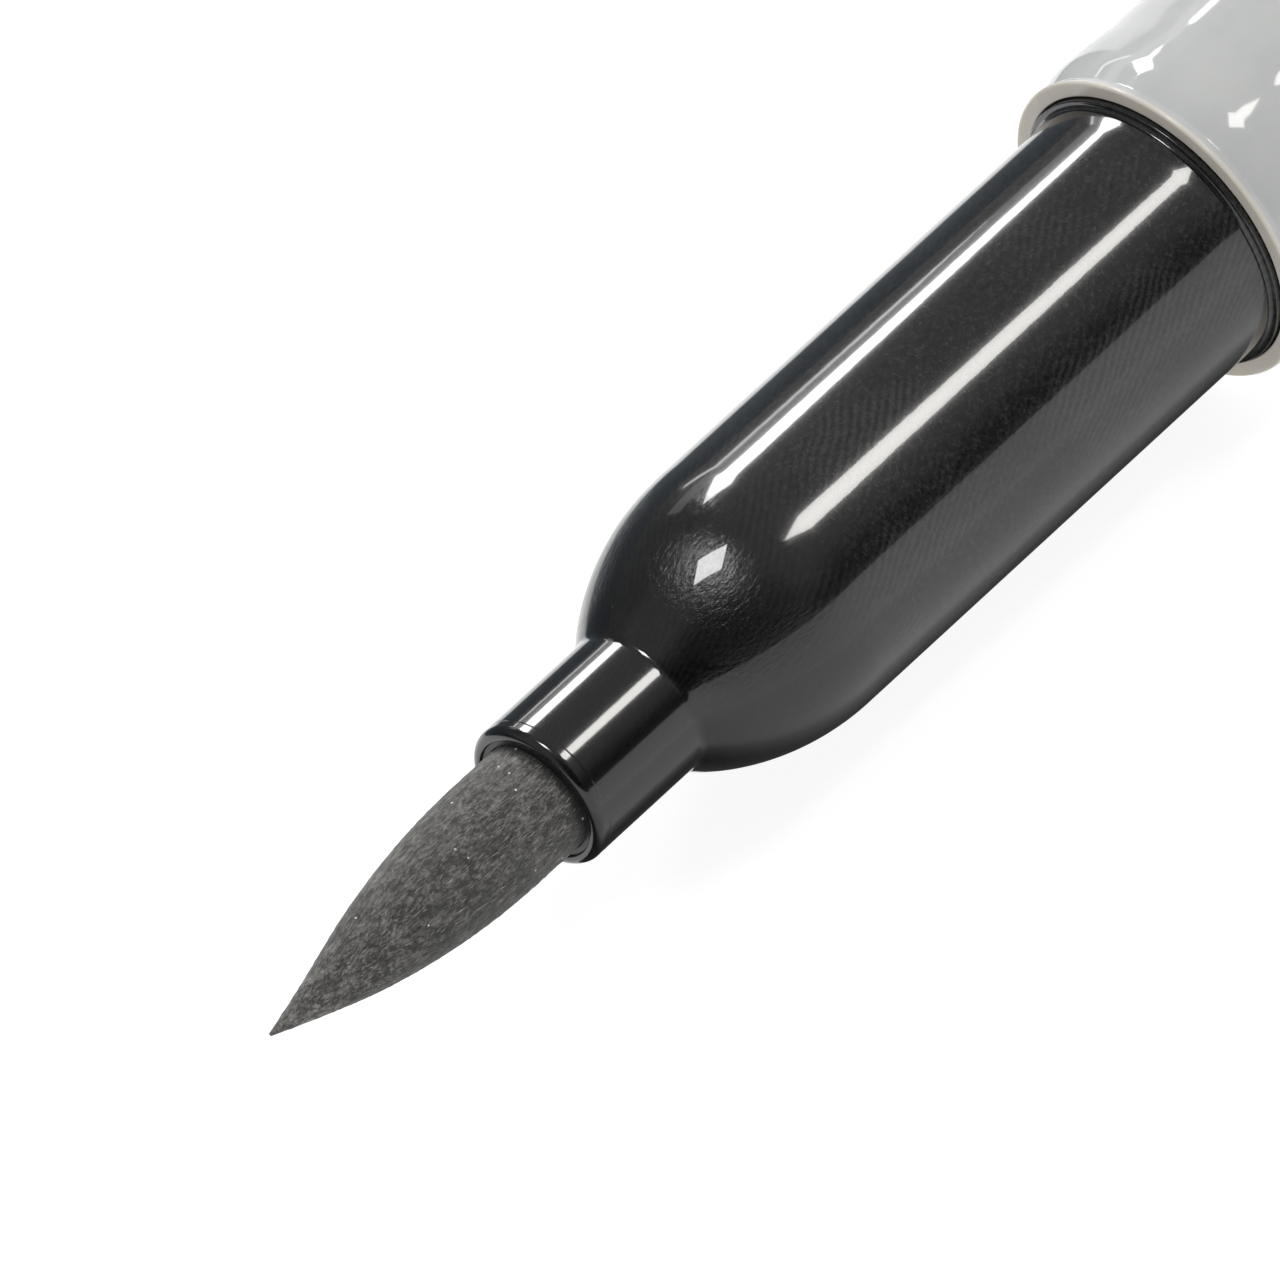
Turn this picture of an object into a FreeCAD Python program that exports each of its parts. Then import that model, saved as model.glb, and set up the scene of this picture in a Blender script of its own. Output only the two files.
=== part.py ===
"""Brush-tip felt marker, uncapped, with its cap posted on the tail.

The marker lies along X with its nib towards -X, and +Z is up. The origin is on its axis, in the
middle of the cap seat, which is the straight part of the black front section. It lies on the
swell behind the barrel's lip, on the bead of the cap's mouth and on the clip. Sizes are in mm.
"""

import FreeCAD
import Part
import math
import os

Vector = FreeCAD.Vector
AXIS = Vector(1, 0, 0)
CENTRE = Vector(0, 0, 0)

# Driving dimensions: what shows
BARREL_R = 5.97
SWELL_R = 6.07
BARREL_LENGTH = 70.0
SEAT_R = 5.07
SEAT_LENGTH = 19.8
NOZZLE_R = 2.76
NOZZLE_LENGTH = 5.3
NIB_R = 2.10
NIB_OUT = 13.2
CAP_LENGTH = 50.0
SPIGOT_LENGTH = 16.0

# Driving dimensions: fits, walls and clearances
RUNNING = 0.05
SNUG = 0.02
SHELL_WALL = 0.57
FILM_R = 4.45
FILM_WALL = 0.10

# Front section
SEAT_FRONT = -SEAT_LENGTH / 2
SEAT_BACK = SEAT_LENGTH / 2
SHOULDER_ARC_R = 2 * SEAT_R
SHOULDER_CENTRE_R = SEAT_R - SHOULDER_ARC_R
SHOULDER_LENGTH = math.sqrt(SHOULDER_ARC_R**2 - (NOZZLE_R - SHOULDER_CENTRE_R) ** 2)
SHOULDER_ROOT = SEAT_FRONT - SHOULDER_LENGTH
MOUTH = SHOULDER_ROOT - NOZZLE_LENGTH
ROOT_FILLET = 0.22
MOUTH_EDGE = 0.24
FLANGE_R = 5.40
FLANGE_THICK = 1.5
FLANGE_EDGE = 0.06
SEAT_FILLET = 0.22
PLUG_R = 5.0
PLUG_LENGTH = 8.0
PLUG_BACK = SEAT_BACK + FLANGE_THICK + PLUG_LENGTH
CAVITY_R = SEAT_R - SHELL_WALL
CAVITY_FRONT = -9.0
SLEEVE_BACK = -12.0

# Nib and its bush
BUSH_IN_R = NIB_R + 0.04
BUSH_OUT_R = BUSH_IN_R + 0.18
BUSH_RECESS = 0.10
BUSH_LENGTH = 8.0
BUSH_SLOTS = 4
BUSH_SLOT_WIDTH = 0.7
NIB_CONE_LENGTH = 2.9
NIB_CONE_SLOPE = 0.30
NIB_POINT_R = 0.06
NIB_STRAIGHT_FROM = 11.3
PIVOT = MOUTH - 0.25
NIB_TIP = MOUTH - NIB_OUT
NIB_IN_CORE = 6.0
NIB_HEEL_R = 1.2

# Reservoir
CORE_FRONT = -8.0
CORE_R = FILM_R - FILM_WALL - SNUG

# Barrel
BARREL_FRONT = SEAT_BACK + 0.22
BARREL_BACK = BARREL_FRONT + BARREL_LENGTH
BARREL_MOUTH_R = FLANGE_R + 0.06
BARREL_BORE_R = 4.85
LIP_INNER_EDGE = 0.18
LIP_OUTER_EDGE = 0.38
SWELL_CREST = 1.6
SWELL_END = 4.4
BARREL_RIBS = 6
BARREL_RIB_WIDTH = 0.8

# Tail plug
COLLAR_R = 5.90
COLLAR_THICK = 1.0
TAIL_PLUG_LENGTH = 8.0
TAIL_WALL = 0.8
SPIGOT_FRONT = BARREL_BACK + COLLAR_THICK
SPIGOT_BACK = SPIGOT_FRONT + SPIGOT_LENGTH
PLUG_EDGE = 0.9
CORE_BACK = BARREL_BACK - TAIL_PLUG_LENGTH - SNUG

# Cap, posted on the tail
CAP_FRONT = SPIGOT_FRONT + RUNNING
CAP_BACK = CAP_FRONT + CAP_LENGTH
CAP_BORE_R = SEAT_R + RUNNING
CAP_END_R = 5.70
CAP_BEAD_LENGTH = 2.4
CAP_END_WALL = 1.5
CAP_STEP = 24.0
CAP_INNER_END_R = 4.75
CAP_RIBS = 6
CAP_RIB_WIDTH = 0.9
CAP_VENTS = 3
VENT_R = 0.55
VENT_AT_R = 4.15
CAP_EDGE = 1.1

# Inner seal of the cap: it closes on the nozzle and leaves room for the nib
SEAL_FRONT = CAP_FRONT + (BARREL_FRONT - SHOULDER_ROOT) + 0.5
SEAL_BACK = CAP_BACK - CAP_END_WALL - SNUG
SEAL_BORE_R = NOZZLE_R + SNUG
SEAL_DEPTH = 5.0
SEAL_WELL_R = NIB_R + 0.35
SEAL_OUT_R = 3.55
SEAL_END_WALL = 1.6

# Clip, moulded with the cap: it flexes about a line across its root
CLIP_HALF_WIDTH = 2.5
CLIP_THICK = 1.3
CLIP_TOP_R = 8.2
CLIP_EDGE = 0.45
CLIP_LENGTH = 34.0
CLIP_BOSS_LENGTH = 5.0
CLIP_BOSS_SETBACK = 2.2
CLIP_BALL_R = 1.1
CLIP_BALL_GAP = 0.12
CLIP_HINGE_R = CLIP_TOP_R - CLIP_THICK / 2
CLIP_HINGE_X = CAP_BACK - CLIP_BOSS_SETBACK - CLIP_BOSS_LENGTH
CLIP_TIP_X = CLIP_HINGE_X - CLIP_LENGTH

# The marker leans on its clip: the clip's lower edge is as low as the swell and the cap's bead
EDGE_UP = CLIP_TOP_R - CLIP_EDGE
EDGE_SIDE = CLIP_HALF_WIDTH - CLIP_EDGE
CLIP_FROM_DOWN = math.degrees(
    math.acos((SWELL_R - CLIP_EDGE) / math.hypot(EDGE_UP, EDGE_SIDE))
    + math.atan2(EDGE_SIDE, EDGE_UP)
)


def at(x, r):
    return Vector(x, 0, r)


def rounded_wire(corners):
    """A closed outline in the XZ plane. A corner is (x, r), or (x, r, radius) where it is rounded."""
    points = [at(c[0], c[1]) for c in corners]
    edges = []
    first = last = None
    for i, corner in enumerate(corners):
        here = points[i]
        if len(corner) == 2:
            start = end = here
            arc = None
        else:
            back = (points[i - 1] - here).normalize()
            ahead = (points[(i + 1) % len(points)] - here).normalize()
            half = math.acos(back.dot(ahead)) / 2
            inward = (back + ahead).normalize()
            start = here + back * (corner[2] / math.tan(half))
            end = here + ahead * (corner[2] / math.tan(half))
            middle = here + inward * (corner[2] / math.sin(half) - corner[2])
            arc = Part.Arc(start, middle, end).toShape()
        if last is not None:
            edges.append(Part.LineSegment(last, start).toShape())
        if arc is not None:
            edges.append(arc)
        first = first or start
        last = end
    edges.append(Part.LineSegment(last, first).toShape())
    return Part.Wire(edges)


def turned(wire):
    return Part.Face(wire).revolve(CENTRE, AXIS, 360)


def tube(front, back, inner_r, outer_r):
    corners = [(front, inner_r), (front, outer_r), (back, outer_r), (back, inner_r)]
    return turned(rounded_wire(corners))


def rod(front, back, r):
    return Part.makeCylinder(r, back - front, at(front, 0), AXIS)


def spokes(count, front, back, inner_r, outer_r, width):
    """Radial blades round the axis, which serve as ribs or cut slots."""
    blade = Part.makeBox(back - front, width, outer_r - inner_r, Vector(front, -width / 2, inner_r))
    return [blade.rotated(CENTRE, AXIS, 360 * i / count) for i in range(count)]


def edges_at(solid, x, r):
    """The circular edges of that radius in the plane at x."""
    circles = [edge for edge in solid.Edges if isinstance(edge.Curve, Part.Circle)]
    here = [edge for edge in circles if abs(edge.Curve.Center.x - x) < 1e-4]
    return [edge for edge in here if abs(edge.Curve.Radius - r) < 1e-4]


def shoulder_r(x):
    """Radius of the shoulder's arc at x."""
    return SHOULDER_CENTRE_R + math.sqrt(SHOULDER_ARC_R**2 - (x - SEAT_FRONT) ** 2)


def front_section():
    """Nozzle, ogive shoulder, cap seat, flange and the thin plug that goes into the barrel."""
    bore_r = BUSH_OUT_R + SNUG
    halfway = (SHOULDER_ROOT + SEAT_FRONT) / 2
    lines = [
        at(SEAT_FRONT, SEAT_R),
        at(SEAT_BACK, SEAT_R),
        at(SEAT_BACK, FLANGE_R),
        at(SEAT_BACK + FLANGE_THICK, FLANGE_R),
        at(SEAT_BACK + FLANGE_THICK, PLUG_R),
        at(PLUG_BACK, PLUG_R),
        at(PLUG_BACK, CAVITY_R),
        at(CAVITY_FRONT, CAVITY_R),
        at(SLEEVE_BACK, bore_r + 0.5),
        at(SLEEVE_BACK, bore_r),
        at(MOUTH, bore_r),
        at(MOUTH, NOZZLE_R),
        at(SHOULDER_ROOT, NOZZLE_R),
    ]
    edges = [Part.LineSegment(a, b).toShape() for a, b in zip(lines, lines[1:])]
    edges.append(Part.Arc(lines[-1], at(halfway, shoulder_r(halfway)), lines[0]).toShape())
    solid = turned(Part.Wire(edges))
    solid = solid.makeFillet(ROOT_FILLET, edges_at(solid, SHOULDER_ROOT, NOZZLE_R))
    solid = solid.makeFillet(MOUTH_EDGE, edges_at(solid, MOUTH, NOZZLE_R))
    solid = solid.makeFillet(SEAT_FILLET, edges_at(solid, SEAT_BACK, SEAT_R))
    solid = solid.makeFillet(FLANGE_EDGE, edges_at(solid, SEAT_BACK, FLANGE_R))
    solid = solid.makeChamfer(0.08, edges_at(solid, MOUTH, bore_r))
    return solid.makeChamfer(0.25, edges_at(solid, PLUG_BACK, PLUG_R))


def nib_bush():
    """Thin sleeve that grips the nib in the nozzle, slotted at the back so that air gets past."""
    front = MOUTH + BUSH_RECESS
    back = front + BUSH_LENGTH
    solid = tube(front, back, BUSH_IN_R, BUSH_OUT_R)
    middle = back - BUSH_LENGTH / 2
    for slot in spokes(BUSH_SLOTS, middle, back + 1, 0, BUSH_OUT_R + 1, BUSH_SLOT_WIDTH):
        solid = solid.cut(slot)
    return solid


def nib_profile_points():
    """Where the nib's cone ends and its side has grown straight, and a point on the arc between."""
    cone_end = at(NIB_TIP + NIB_CONE_LENGTH, NIB_CONE_SLOPE * NIB_CONE_LENGTH)
    straight = at(NIB_TIP + NIB_STRAIGHT_FROM, NIB_R)
    reach = straight.x - cone_end.x
    rise = straight.z - cone_end.z
    arc_r = (reach**2 + rise**2) / (2 * rise)
    x = (cone_end.x + straight.x) / 2
    middle = at(x, NIB_R - arc_r + math.sqrt(arc_r**2 - (straight.x - x) ** 2))
    return cone_end, middle, straight


def pivot_roller(r):
    """A cylinder across the marker on the line that the nib's point bends about."""
    return Part.makeCylinder(r, 4 * NIB_R, Vector(PIVOT, -2 * NIB_R, 0), Vector(0, 1, 0))


def brush_nib_tip():
    """The part of the nib that bends: a brush point whose hollow end turns on the shank's round end."""
    cone_end, middle, straight = nib_profile_points()
    point = at(NIB_TIP, NIB_POINT_R)
    root = at(PIVOT, NIB_R)
    edges = [
        Part.LineSegment(at(NIB_TIP, 0), point).toShape(),
        Part.LineSegment(point, cone_end).toShape(),
        Part.Arc(cone_end, middle, straight).toShape(),
        Part.LineSegment(straight, root).toShape(),
        Part.LineSegment(root, at(PIVOT, 0)).toShape(),
        Part.LineSegment(at(PIVOT, 0), at(NIB_TIP, 0)).toShape(),
    ]
    return turned(Part.Wire(edges)).cut(pivot_roller(NIB_R + RUNNING))


def shank_solid(grow=0.0):
    """The nib from its pivot back into the fibre core, grown for the hole that it makes there."""
    heel = CORE_FRONT + NIB_IN_CORE
    taper = CORE_FRONT + 1.0
    r = NIB_R + grow
    outline = [
        (PIVOT, 0),
        (PIVOT, r),
        (taper, r),
        (heel + grow, NIB_HEEL_R + grow, 0.4),
        (heel + grow, 0),
    ]
    return turned(rounded_wire(outline))


def brush_nib_shank():
    """The held part of the nib, with a round end in front for the point to turn on."""
    round_end = rod(PIVOT - NIB_R, PIVOT + NIB_R, NIB_R).common(pivot_roller(NIB_R))
    return shank_solid().fuse(round_end).removeSplitter()


def reservoir_core():
    return rod(CORE_FRONT, CORE_BACK, CORE_R).cut(shank_solid(SNUG))


def reservoir_film():
    return tube(CORE_FRONT + 0.5, CORE_BACK - 0.5, FILM_R - FILM_WALL, FILM_R)


def barrel():
    """Light tube with a rounded lip, a low swell behind it, a seat for the section and inner ribs."""
    flange_seat = SEAT_BACK + FLANGE_THICK + SNUG
    crest = BARREL_FRONT + SWELL_CREST
    straight = BARREL_FRONT + SWELL_END
    outline = [
        (BARREL_FRONT, BARREL_MOUTH_R, LIP_INNER_EDGE),
        (BARREL_FRONT, SWELL_R - 0.03, LIP_OUTER_EDGE),
        (crest, SWELL_R, 12.0),
        (straight, BARREL_R, 12.0),
        (BARREL_BACK, BARREL_R, 0.3),
        (BARREL_BACK, BARREL_BORE_R),
        (PLUG_BACK + 0.5, BARREL_BORE_R),
        (PLUG_BACK + 0.5, PLUG_R + SNUG),
        (flange_seat, PLUG_R + SNUG),
        (flange_seat, BARREL_MOUTH_R),
    ]
    solid = turned(rounded_wire(outline))
    rib_front = PLUG_BACK + 0.5
    rib_back = BARREL_BACK - TAIL_PLUG_LENGTH - 0.5
    wall = BARREL_BORE_R + 0.2
    for rib in spokes(BARREL_RIBS, rib_front, rib_back, FILM_R + SNUG, wall, BARREL_RIB_WIDTH):
        solid = solid.fuse(rib)
    return solid.removeSplitter()


def tail_plug():
    """Closed cup pressed into the barrel's back end. Its spigot carries the posted cap."""
    plug_front = BARREL_BACK - TAIL_PLUG_LENGTH
    plug_r = BARREL_BORE_R - SNUG
    outline = [
        (plug_front, plug_r - TAIL_WALL),
        (plug_front, plug_r, 0.3),
        (BARREL_BACK + SNUG, plug_r),
        (BARREL_BACK + SNUG, COLLAR_R, 0.25),
        (SPIGOT_FRONT, COLLAR_R, 0.25),
        (SPIGOT_FRONT, SEAT_R),
        (SPIGOT_BACK, SEAT_R, PLUG_EDGE),
        (SPIGOT_BACK, 0),
        (SPIGOT_BACK - 1.2, 0),
        (SPIGOT_BACK - 1.2, plug_r - TAIL_WALL, 0.5),
    ]
    return turned(rounded_wire(outline))


def turned_to_clip(shape):
    """The cap is drawn with its clip straight up, and turned so that the clip's edge is down."""
    return shape.rotated(CENTRE, AXIS, 180 - CLIP_FROM_DOWN)


def clip_bar(front, back, low, high, corner=0.0, corner_x=0.0):
    """A bar along the axis over the cap, its upper edges rounded and the corners at corner_x too."""
    corner_at = Vector(front, -CLIP_HALF_WIDTH, low)
    bar = Part.makeBox(back - front, 2 * CLIP_HALF_WIDTH, high - low, corner_at)
    if corner:
        upright = [e for e in bar.Edges if all(abs(v.X - corner_x) < 1e-6 for v in e.Vertexes)]
        upright = [e for e in upright if abs(e.Vertexes[0].Z - e.Vertexes[1].Z) > 1e-6]
        bar = bar.makeFillet(corner, upright)
    square_x = back if corner_x == front else front
    upper = [e for e in bar.Edges if all(abs(v.Z - high) < 1e-6 for v in e.Vertexes)]
    upper = [e for e in upper if any(abs(v.X - square_x) > 1e-6 for v in e.Vertexes)]
    return bar.makeFillet(CLIP_EDGE, upper)


def hinge_rod(r):
    """A rod across the clip's root."""
    start = Vector(CLIP_HINGE_X, -CLIP_HALF_WIDTH, CLIP_HINGE_R)
    return Part.makeCylinder(r, 2 * CLIP_HALF_WIDTH, start, Vector(0, 1, 0))


def cap_shell():
    """Outer cap: a tapered cup with a bead at its mouth, inner ribs, air vents and the clip's boss."""
    inner_end = CAP_BACK - CAP_END_WALL
    outline = [
        (CAP_FRONT, CAP_BORE_R, 0.15),
        (CAP_FRONT, SWELL_R, 0.35),
        (CAP_FRONT + CAP_BEAD_LENGTH, SWELL_R, 0.5),
        (CAP_FRONT + CAP_BEAD_LENGTH + 0.25, BARREL_R, 0.5),
        (CAP_BACK, CAP_END_R, CAP_EDGE),
        (CAP_BACK, 0),
        (inner_end, 0),
        (inner_end, CAP_INNER_END_R),
        (CAP_FRONT + CAP_STEP, CAP_BORE_R),
    ]
    solid = turned(rounded_wire(outline))
    ribs_in, ribs_out = SEAL_OUT_R + SNUG, CAP_BORE_R + 0.2
    for rib in spokes(CAP_RIBS, SEAL_FRONT + 2, inner_end + 0.2, ribs_in, ribs_out, CAP_RIB_WIDTH):
        solid = solid.fuse(rib)
    boss_back = CLIP_HINGE_X + CLIP_BOSS_LENGTH
    boss = clip_bar(CLIP_HINGE_X, boss_back, CAP_END_R - 0.4, CLIP_TOP_R, 0.8, boss_back)
    solid = solid.fuse(boss).cut(hinge_rod(CLIP_THICK / 2 + RUNNING)).removeSplitter()
    for i in range(CAP_VENTS):
        vent = Part.makeCylinder(VENT_R, CAP_END_WALL + 1, at(inner_end - 0.5, VENT_AT_R), AXIS)
        solid = solid.cut(vent.rotated(CENTRE, AXIS, 360 * (i + 0.25) / CAP_VENTS))
    return turned_to_clip(solid)


def cap_clip():
    """The clip's tongue, with a round root that turns in the boss and a ball that faces the cap."""
    low = CLIP_TOP_R - CLIP_THICK
    tongue = clip_bar(CLIP_TIP_X, CLIP_HINGE_X, low, CLIP_TOP_R, 1.6, CLIP_TIP_X)
    ball_x = CLIP_TIP_X + 3.2
    ball_low = BARREL_R + CLIP_BALL_GAP
    ball = Part.makeSphere(CLIP_BALL_R, at(ball_x, ball_low + CLIP_BALL_R))
    root = hinge_rod(CLIP_THICK / 2)
    below = Part.makeBox(2, 10, CLIP_THICK / 2, Vector(CLIP_HINGE_X - 1, -5, low))
    lower_root = root.common(below)
    upper_root = clip_bar(CLIP_HINGE_X - 1, CLIP_HINGE_X + 1, low, CLIP_TOP_R).common(root)
    return turned_to_clip(tongue.fuse([ball, lower_root, upper_root]).removeSplitter())


def cap_inner_seal():
    """Inner cap: its bore closes on the nozzle, and a well behind it keeps the nib moist."""
    well_end = SEAL_BACK - SEAL_END_WALL
    outline = [
        (SEAL_FRONT, SEAL_BORE_R, 0.2),
        (SEAL_FRONT, SEAL_OUT_R, 0.3),
        (SEAL_BACK, SEAL_OUT_R, 0.3),
        (SEAL_BACK, 0),
        (well_end, 0),
        (well_end, SEAL_WELL_R, 0.6),
        (SEAL_FRONT + SEAL_DEPTH, SEAL_WELL_R),
        (SEAL_FRONT + SEAL_DEPTH, SEAL_BORE_R),
    ]
    return turned_to_clip(turned(rounded_wire(outline)))


PIECES = {
    "front_section": front_section,
    "nib_bush": nib_bush,
    "brush_nib_tip": brush_nib_tip,
    "brush_nib_shank": brush_nib_shank,
    "reservoir_core": reservoir_core,
    "reservoir_film": reservoir_film,
    "barrel": barrel,
    "tail_plug": tail_plug,
    "cap_shell": cap_shell,
    "cap_clip": cap_clip,
    "cap_inner_seal": cap_inner_seal,
}


def main():
    os.makedirs("parts", exist_ok=True)
    for name, make in PIECES.items():
        shape = make()
        if not shape.isValid() or len(shape.Solids) != 1:
            raise RuntimeError(f"{name}: valid {shape.isValid()}, {len(shape.Solids)} solids")
        shape.exportStep(f"parts/{name}.step")
        box = shape.BoundBox
        span = f"x {box.XMin:.2f}..{box.XMax:.2f}, z {box.ZMin:.2f}..{box.ZMax:.2f}"
        print(f"{name}: {span}, {shape.Volume:.1f} mm3")


main()
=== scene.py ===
"""Brush-tip felt marker, lying on a pale floor with its cap posted on the tail.

Lengths are written in millimetres, as on a drawing, and turned into metres where meshes are made.
"""

import math
import random

import bmesh
import bpy
from mathutils import Matrix, Vector

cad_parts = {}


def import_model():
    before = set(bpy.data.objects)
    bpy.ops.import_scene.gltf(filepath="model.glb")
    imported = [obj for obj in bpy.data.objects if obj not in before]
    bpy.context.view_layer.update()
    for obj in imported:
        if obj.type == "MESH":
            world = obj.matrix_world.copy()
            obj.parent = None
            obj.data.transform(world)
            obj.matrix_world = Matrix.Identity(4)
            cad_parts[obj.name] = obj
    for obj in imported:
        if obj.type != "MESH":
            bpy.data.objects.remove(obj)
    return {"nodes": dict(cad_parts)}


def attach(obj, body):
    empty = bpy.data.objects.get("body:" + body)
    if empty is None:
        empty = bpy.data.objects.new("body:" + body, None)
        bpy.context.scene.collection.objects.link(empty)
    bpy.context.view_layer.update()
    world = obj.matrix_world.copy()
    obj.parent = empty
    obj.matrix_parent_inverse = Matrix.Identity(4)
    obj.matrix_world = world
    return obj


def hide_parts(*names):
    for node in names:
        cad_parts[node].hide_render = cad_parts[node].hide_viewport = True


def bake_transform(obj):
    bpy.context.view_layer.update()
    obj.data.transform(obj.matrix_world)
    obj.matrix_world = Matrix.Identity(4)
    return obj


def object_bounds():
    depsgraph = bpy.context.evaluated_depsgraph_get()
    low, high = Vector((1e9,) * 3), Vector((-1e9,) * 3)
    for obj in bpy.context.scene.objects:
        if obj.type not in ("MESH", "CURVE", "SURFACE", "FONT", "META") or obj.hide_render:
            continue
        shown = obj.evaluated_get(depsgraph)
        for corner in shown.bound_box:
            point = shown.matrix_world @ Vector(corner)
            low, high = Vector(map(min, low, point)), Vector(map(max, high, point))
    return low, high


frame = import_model()
cad_low, cad_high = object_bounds()

MM = 0.001
MICROMETRE = 1e-6
TURN = 2 * math.pi
MERGE = 1e-5  # mm: points nearer than this are one point

# Dimensions of the marker, in mm. X runs along the axis from the nib to the tail, and is 0 in the
# middle of the cap seat. R is a radius.
SEAT_R = 5.07
SEAT_FRONT = -9.9
SEAT_BACK = 9.9
NOZZLE_R = 2.76
NOZZLE_BORE_R = 2.34
SHOULDER_ARC_R = 2 * SEAT_R
SHOULDER_ROOT = SEAT_FRONT - math.sqrt(SHOULDER_ARC_R**2 - (NOZZLE_R + SEAT_R) ** 2)
MOUTH = SHOULDER_ROOT - 5.3
FLANGE_R = 5.36
FLANGE_BACK = SEAT_BACK + 1.5
PLUG_R = 5.0
PLUG_BACK = FLANGE_BACK + 8.0
CAVITY_R = 4.5
CAVITY_FRONT = -9.0
SLEEVE_BACK = -12.0

NIB_R = 2.1
NIB_TIP = MOUTH - 13.2
NIB_POINT_R = 0.06
NIB_CONE_LENGTH = 2.9
NIB_CONE_SLOPE = 0.30
NIB_STRAIGHT_FROM = 11.3
NIB_TAPER_FROM = -3.0
NIB_TAPER_SLOPE = 0.5
NIB_HEEL = -2.0

BARREL_FRONT = SEAT_BACK + 0.32
BARREL_BACK = SEAT_BACK + 70.22
BARREL_R = 5.97
BARREL_BORE_R = 4.85
SOCKET_R = 5.02
SOCKET_BACK = SEAT_BACK + 10.0
SWELL_R = 6.07
COLLAR_R = 5.9
TAIL_PLUG_R = 4.83
TAIL_PLUG_LENGTH = 8.0
TAIL_WALL = 0.8
SPIGOT_FRONT = BARREL_BACK + 1.0
SPIGOT_BACK = SPIGOT_FRONT + 16.0
SPIGOT_END_WALL = 1.2

CAP_FRONT = SPIGOT_FRONT + 0.05
CAP_BACK = CAP_FRONT + 50.0
CAP_BORE_R = 5.12
CAP_BEAD_LENGTH = 2.4
CAP_STEP = 24.0
CAP_END_R = 5.7
CAP_END_WALL = 1.5
CAP_INNER_END_R = 4.75
CLIP_HALF_WIDTH = 2.5
CLIP_THICK = 1.3
CLIP_TOP_R = 8.2
CLIP_EDGE = 0.45
CLIP_HINGE_X = CAP_BACK - 7.2
CLIP_TIP_X = CLIP_HINGE_X - 34.0
CLIP_BALL_R = 1.1


# ---------------------------------------------------------------- meshes


def rounded_path(corners, closed=True, steps=8, hold=0.03):
    """Points of an outline through corners (x, r) or (x, r, radius).

    Straight runs get points close to both their ends, so that smooth shading stays flat on them.
    """
    turned = []
    count = len(corners)
    for i, corner in enumerate(corners):
        here = Vector(corner[:2])
        end = not closed and i in (0, count - 1)
        if len(corner) == 2 or end:
            turned.append(here)
            continue
        back = (Vector(corners[i - 1][:2]) - here).normalized()
        ahead = (Vector(corners[(i + 1) % count][:2]) - here).normalized()
        half = math.acos(max(-1.0, min(1.0, back.dot(ahead)))) / 2
        centre = here + (back + ahead).normalized() * (corner[2] / math.sin(half))
        start = here + back * (corner[2] / math.tan(half)) - centre
        stop = here + ahead * (corner[2] / math.tan(half)) - centre
        sweep = start.angle_signed(stop)
        for k in range(steps + 1):
            a = -sweep * k / steps
            turned.append(centre + Matrix.Rotation(a, 2) @ start)
    out = []
    for i, point in enumerate(turned):
        out.append(point)
        if i == len(turned) - 1 and not closed:
            break
        after = turned[(i + 1) % len(turned)]
        run = after - point
        if run.length > 4 * hold:
            out.append(point + run.normalized() * hold)
            out.append(after - run.normalized() * hold)
    return out


def finished(name, bm, body=None):
    """A smooth mesh object in metres from a bmesh in mm, riding on a body if one is given."""
    bmesh.ops.remove_doubles(bm, verts=bm.verts, dist=MERGE)
    bmesh.ops.recalc_face_normals(bm, faces=bm.faces)
    for face in bm.faces:
        face.smooth = True
    bmesh.ops.scale(bm, vec=(MM, MM, MM), verts=bm.verts)
    mesh = bpy.data.meshes.new(name)
    bm.to_mesh(mesh)
    bm.free()
    obj = bpy.data.objects.new(name, mesh)
    bpy.context.scene.collection.objects.link(obj)
    if body:
        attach(obj, body)
    return obj


def lathe(bm, path, segments=224, closed=True):
    """Turns an outline of (x, r) points round the X axis."""
    rings = []
    for x, r in path:
        ring = []
        for k in range(segments):
            a = TURN * k / segments
            ring.append(bm.verts.new((x, -r * math.sin(a), r * math.cos(a))))
        rings.append(ring)
    last = len(rings) if closed else len(rings) - 1
    for i in range(last):
        a, b = rings[i], rings[(i + 1) % len(rings)]
        for k in range(segments):
            n = (k + 1) % segments
            bm.faces.new((a[k], a[n], b[n], b[k]))


def turned_piece(name, body, path, segments=224, closed=True):
    """A piece turned from an outline, riding on a body."""
    bm = bmesh.new()
    lathe(bm, path, segments, closed)
    return finished(name, bm, body)


# ---------------------------------------------------------------- materials


SPECK_SHARE = 0.28


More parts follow.
